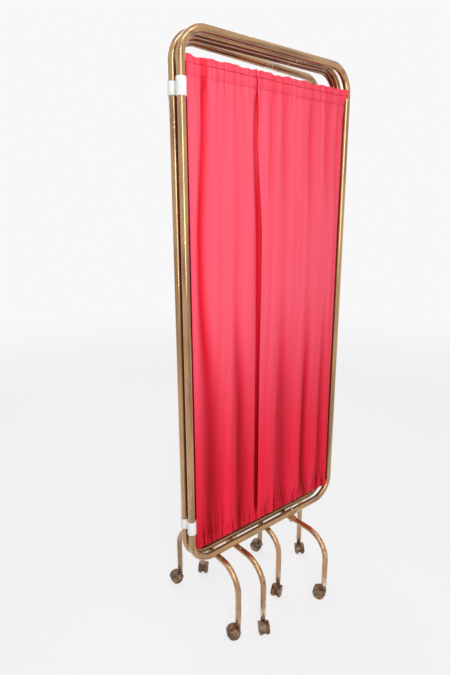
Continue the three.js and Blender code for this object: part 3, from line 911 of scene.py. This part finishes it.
def cloth_mesh(name, points, widths, lengths, fold):
    rows, columns = points.shape[:2]
    index = np.arange(rows * columns).reshape(rows, columns)
    quads = np.stack((index[:-1, :-1], index[:-1, 1:], index[1:, 1:], index[1:, :-1]), -1).reshape(-1, 4)
    mesh = bpy.data.meshes.new(name)
    mesh.from_pydata(points.reshape(-1, 3).tolist(), [], quads.tolist())
    layer = mesh.uv_layers.new(name="cloth")
    corners = quads.ravel()
    flat = np.stack((widths.ravel()[corners], lengths.ravel()[corners]), -1)
    layer.data.foreach_set("uv", flat.ravel())
    # The fold attribute carries painted shade for the furrows and painted highlight for the crests.
    fold_light_layer = mesh.attributes.new("fold", "FLOAT", "POINT")
    fold_light_layer.data.foreach_set("value", fold.ravel().astype(np.float32))
    mesh.update()
    return mesh


def hang_drop(name, number, start, end, furrows, seed, edges):
    front = number == 1
    grid = FINE_GRID if front else COARSE_GRID
    laps = front and end == CURTAIN_RIGHT
    points, widths, lengths, fold = drop_points(start, end, furrows, seed, grid, laps, edges)
    deselect()
    piece = bpy.data.objects.new(name, cloth_mesh(name, points, widths, lengths, fold))
    bpy.context.scene.collection.objects.link(piece)
    piece.select_set(True)
    bpy.context.view_layer.objects.active = piece
    thick = piece.modifiers.new("thickness", "SOLIDIFY")
    thick.thickness = CLOTH_THICKNESS
    thick.offset = -1
    bpy.ops.object.modifier_apply(modifier=thick.name)
    node = f"curtain_{number}"
    settle(name, panel_frame(number), SATIN, f"panel_{number}", node, angle=180)


def moved_left(furrows, shift):
    return [(tuple(v - shift for v in line), deep, half) for line, deep, half in furrows]


def curtains():
    left_edges = (STRAIGHT, SEAM_PATH, SEAM_LAP, 0)
    right_edges = (SEAM_PATH, RIGHT_PULL, 0, FRILL_DROOP)
    for number in PANELS:
        shift = (number - 1) * FOLD_SHIFT
        left = moved_left(LEFT_FURROWS, shift)
        right = moved_left(RIGHT_FURROWS, shift)
        seam = DROP_SEAM - shift * MM
        hang_drop(f"curtain_left_{number}", number, CURTAIN_LEFT, seam - SEAM_GAP, left, number, left_edges)
        hang_drop(
            f"curtain_right_{number}", number, seam + SEAM_GAP, CURTAIN_RIGHT, right, number + 10, right_edges
        )


# Casters


def wheel_half():
    """One of the twin wheels, about Z, with its inner face low: tread, rounded rim, dished face and hub."""
    rim = AXLE_HEIGHT
    wide = WHEEL_OUTER - WHEEL_INNER
    return turned([
        (3.1 * MM, 0.4 * MM), (7 * MM, 0.4 * MM), (7.4 * MM, 1.2 * MM), (rim - 3 * MM, 1.2 * MM),
        (rim - 2.4 * MM, 0), (rim - 1.3 * MM, 0), (rim - 0.4 * MM, 0.5 * MM), (rim, 1.4 * MM),
        (rim, wide - 2.2 * MM), (rim - 0.5 * MM, wide - 1.0 * MM), (rim - 1.6 * MM, wide - 0.2 * MM),
        (rim - 2.8 * MM, wide), (rim - 5.6 * MM, wide), (rim - 6.2 * MM, wide - 0.6 * MM),
        (rim - 6.6 * MM, wide - 1.5 * MM), (7.6 * MM, wide - 1.7 * MM), (7.0 * MM, wide - 0.9 * MM),
        (5.2 * MM, wide - 0.5 * MM), (1.2 * MM, wide - 0.3 * MM),
    ], WHEEL_SIDES)


def wheels_shape():
    """Twin wheels and axle about Y."""
    outward = Matrix.Translation((0, 0, WHEEL_INNER))
    wheel = shifted(wheel_half(), outward)
    join(wheel, shifted(wheel_half(), Matrix.Rotation(math.pi, 4, "X") @ outward))
    reach = WHEEL_INNER + 3 * MM
    join(wheel, turned([(AXLE_RADIUS, -reach), (AXLE_RADIUS, reach)], AXLE_SIDES))
    return shifted(wheel, Matrix.Rotation(math.pi / 2, 4, "X"))


def below_axle():
    """A block that cuts a ring round the axle down to an arch."""
    high = 2 * HOOD_OUTER
    wide = 2 * WHEEL_OUTER
    return box((-high, -wide, -high), (high, wide, 0))


def hood_roof():
    wide = WHEEL_OUTER
    roof = turned([
        (HOOD_INNER, -wide), (HOOD_OUTER - 1.2 * MM, -wide), (HOOD_OUTER - 0.5 * MM, -wide + 0.7 * MM),
        (HOOD_OUTER, -wide + 2.4 * MM), (HOOD_OUTER, wide - 2.4 * MM),
        (HOOD_OUTER - 0.5 * MM, wide - 0.7 * MM), (HOOD_OUTER - 1.2 * MM, wide), (HOOD_INNER, wide),
    ], ROUND_SIDES)
    cut(roof, turned([(HOOD_INNER, -2 * wide), (HOOD_INNER, 2 * wide)], ROUND_SIDES))
    shifted(roof, Matrix.Rotation(math.pi / 2, 4, "X"))
    return cut(roof, below_axle())


def hood_web():
    """Plate between the wheels, with a boss round the axle's hole."""
    plate = lying_bar(HOOD_INNER + 0.9 * MM, WEB_HALF, "Y", ROUND_SIDES)
    cut(plate, below_axle())
    join(plate, lying_bar(BOSS_RADIUS, WEB_HALF, "Y"))
    return cut(plate, lying_bar(AXLE_HOLE, WHEEL_OUTER, "Y", AXLE_SIDES))


def hood_socket(top):
    """Grooved collar at the hood's leading side, cut clear of the wheels."""
    socket = turned([
        (6.2 * MM, 4 * MM), (SOCKET_RADIUS, 9 * MM), (SOCKET_RADIUS, top - 9 * MM),
        (6.7 * MM, top - 8.2 * MM), (6.7 * MM, top - 7.4 * MM), (SOCKET_RADIUS, top - 6.6 * MM),
        (SOCKET_RADIUS, top - 1 * MM), (6.9 * MM, top),
    ])
    shifted(socket, Matrix.Translation((-CASTER_TRAIL, 0, 0)))
    return cut(socket, lying_bar(HOOD_INNER, 2 * WHEEL_OUTER, "Y", ROUND_SIDES))


def hood_shape():
    """Roof over both wheels, web between them, and the collar and stem at its leading side."""
    top = FOOT_END - FIT_GAP - AXLE_HEIGHT
    hood = hood_roof()
    join(hood, hood_web())
    join(hood, hood_socket(top))
    stem = turned([
        (STEM_RADIUS, top - 6 * MM), (STEM_RADIUS, top + 35 * MM), (STEM_RADIUS - 0.8 * MM, top + 36 * MM),
    ], AXLE_SIDES)
    join(hood, shifted(stem, Matrix.Translation((-CASTER_TRAIL, 0, 0))))
    return shifted(hood, Matrix.Translation((CASTER_TRAIL, 0, AXLE_HEIGHT)))


def casters():
    hood = hood_shape()
    wheels = wheels_shape()
    for label in CASTERS:
        place = caster_frame(label)
        copy_of(hood)
        settle(f"hood_{label}", place, HOOD_BROWN, f"caster_{label}", f"caster_hood_{label}")
        copy_of(wheels)
        hub = place @ Matrix.Translation((CASTER_TRAIL, 0, AXLE_HEIGHT))
        rolling = f"wheels_{label}"
        settle(rolling, hub, WHEEL_BROWN, rolling, f"caster_wheels_{label}")
    bpy.data.objects.remove(hood)
    bpy.data.objects.remove(wheels)


def curtain_rods():
    """The curtain rods keep their solids, which are plain wire in the real screen too."""
    for number in PANELS:
        for level in ("top", "bottom"):
            rod = bpy.data.objects[f"{level}_curtain_rod_{number}"]
            for slot in rod.material_slots:
                slot.material = STEEL


# Floor, light and camera

FLOOR_RADIUS = 6.0
FLOOR_FADE_FROM = 1.6
FLOOR_COLOUR = (0.94, 0.93, 0.935)
FLOOR_GLOW = 0.8
SEEING_RAYS = ("Camera", "Glossy", "Transmission")
BACKGROUND = (0.945, 0.935, 0.942)
FILL_COLOUR = (1.0, 1.0, 1.0)
FILL_STRENGTH = 0.46

CAMERA_PLACE = (-1.08925, -1.1643, 1.319)
CAMERA_HEADING = math.atan2(0.632, 0.775)
CAMERA_PITCH = math.radians(14.12)
CAMERA_ROLL = math.radians(-0.26)
FOCAL_PIXELS = 495.5
PHOTO_WIDTH = 450
PHOTO_HEIGHT = 675
CENTRE_COLUMN = 226.6
SENSOR = 36.0

# Each lamp's name, place, target, width and height, and power
LAMPS = (
    ("key", (-1.0, -1.5, 1.6), (0, 0, 1.2), (0.46, 2.0), 18),
    ("top", (-0.4, -1.0, 3.0), (0, 0, 1.7), (1.8, 0.2), 9),
    ("back", (0.9, 1.8, 2.4), (0, 0, 1.0), (1.2, 1.2), 16),
)


def stage_floor():
    """Pale floor that shows the object's shadow, and goes over into the background further off."""
    deselect()
    bpy.ops.mesh.primitive_circle_add(vertices=96, radius=FLOOR_RADIUS, fill_type="NGON")
    floor = bpy.context.object
    floor.name = "floor"
    finish = Finish("pale_floor", Roughness=0.7)
    ground = finish.place
    spread = finish.node("ShaderNodeVectorMath", {"operation": "LENGTH"}, {0: ground}, "Value")
    far = spread.above(FLOOR_FADE_FROM, FLOOR_RADIUS * 0.9)
    rays = [finish.node("ShaderNodeLightPath", None, None, f"Is {ray} Ray") for ray in SEEING_RAYS]
    seen = rays[0].math("MAXIMUM", rays[0].math("MAXIMUM", rays[0], rays[1]), rays[2])
    share = seen * (FLOOR_GLOW + far * (1 - FLOOR_GLOW))
    finish.shows(Base_Color=(*FLOOR_COLOUR, 1))
    light = finish.node("ShaderNodeEmission", None, {"Color": (*BACKGROUND, 1), "Strength": 1.0})
    surface = Signal(finish, finish.surface.outputs[0])
    mixed = finish.node("ShaderNodeMixShader", None, {0: share, 1: surface, 2: light})
    output = finish.tree.nodes["Material Output"]
    finish.feed(output.inputs["Surface"], mixed)
    floor.data.materials.append(finish.material)


def pale_world():
    """White background to the rays that see it, and a plain fill light to the rest."""
    world = bpy.data.worlds.new("studio")
    bpy.context.scene.world = world
    world.use_nodes = True
    tree = world.node_tree
    tree.nodes.clear()
    rays = tree.nodes.new("ShaderNodeLightPath")
    seen = tree.nodes.new("ShaderNodeBackground")
    seen.inputs["Color"].default_value = (*BACKGROUND, 1)
    fill = tree.nodes.new("ShaderNodeBackground")
    fill.inputs["Color"].default_value = (*FILL_COLOUR, 1)
    fill.inputs["Strength"].default_value = FILL_STRENGTH
    mixed = tree.nodes.new("ShaderNodeMixShader")
    out = tree.nodes.new("ShaderNodeOutputWorld")
    share = None
    for ray in SEEING_RAYS:
        seeing = rays.outputs[f"Is {ray} Ray"]
        if share is None:
            share = seeing
            continue
        most = tree.nodes.new("ShaderNodeMath")
        most.operation = "MAXIMUM"
        tree.links.new(share, most.inputs[0])
        tree.links.new(seeing, most.inputs[1])
        share = most.outputs[0]
    tree.links.new(share, mixed.inputs[0])
    tree.links.new(fill.outputs[0], mixed.inputs[1])
    tree.links.new(seen.outputs[0], mixed.inputs[2])
    tree.links.new(mixed.outputs[0], out.inputs["Surface"])


def lamp(name, place, target, size, power):
    light = bpy.data.lights.new(name, "AREA")
    light.shape = "RECTANGLE"
    light.size, light.size_y = size
    light.energy = power
    holder = bpy.data.objects.new(name, light)
    bpy.context.scene.collection.objects.link(holder)
    holder.location = place
    holder.rotation_euler = (Vector(target) - Vector(place)).to_track_quat("-Z", "Y").to_euler()


def camera():
    data = bpy.data.cameras.new("camera")
    data.sensor_width = SENSOR
    data.lens = SENSOR * FOCAL_PIXELS / PHOTO_HEIGHT
    data.shift_x = (PHOTO_WIDTH / 2 - CENTRE_COLUMN) / PHOTO_HEIGHT
    holder = bpy.data.objects.new("camera", data)
    bpy.context.scene.collection.objects.link(holder)
    holder.location = CAMERA_PLACE
    turn = Matrix.Rotation(-CAMERA_HEADING, 4, "Z")
    tilt = Matrix.Rotation(math.pi / 2 - CAMERA_PITCH, 4, "X")
    roll = Matrix.Rotation(CAMERA_ROLL, 4, "Z")
    holder.rotation_euler = (turn @ tilt @ roll).to_euler()
    bpy.context.scene.camera = holder


for number in PANELS:
    panel_tubes(number)
feet()
clips()
casters()
curtains()
curtain_rods()

stage_floor()
pale_world()
for name, place, target, size, power in LAMPS:
    lamp(name, place, target, size, power)
camera()
bpy.context.scene.view_settings.view_transform = "Standard"
